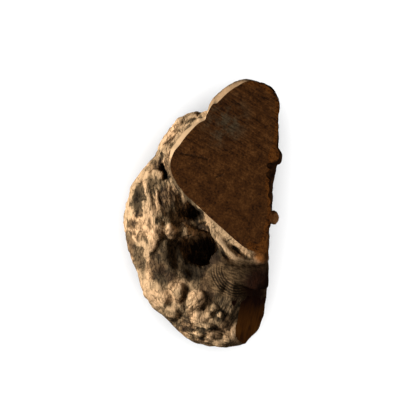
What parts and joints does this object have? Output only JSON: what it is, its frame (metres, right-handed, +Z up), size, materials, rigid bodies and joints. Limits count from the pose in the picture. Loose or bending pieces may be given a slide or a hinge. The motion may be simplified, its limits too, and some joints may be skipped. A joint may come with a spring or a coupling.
{
  "type": "briar root",
  "caption": "Gnarled burl of briar root with its trunk sawn across at a slant, a deep hollow under the collar, warts, and a second saw cut at the lower side.",
  "frame": {"origin": "centre of the bounding box's bottom, on the surface that the root lies on", "axes": "+Y along the root towards the top edge of its trunk's saw cut, +X to the right as seen from above, +Z up"},
  "size_m": [0.1188, 0.2028, 0.0933],
  "materials": {
    "briar_wood": "dry, unsealed wood: dark brown on the saw cuts, pale where the bark is worn off, grey-brown in the furrows, near black in the hollow"
  },
  "bodies": {
    "root": {"briar_root": "briar_wood"}
  },
  "joints": []
}
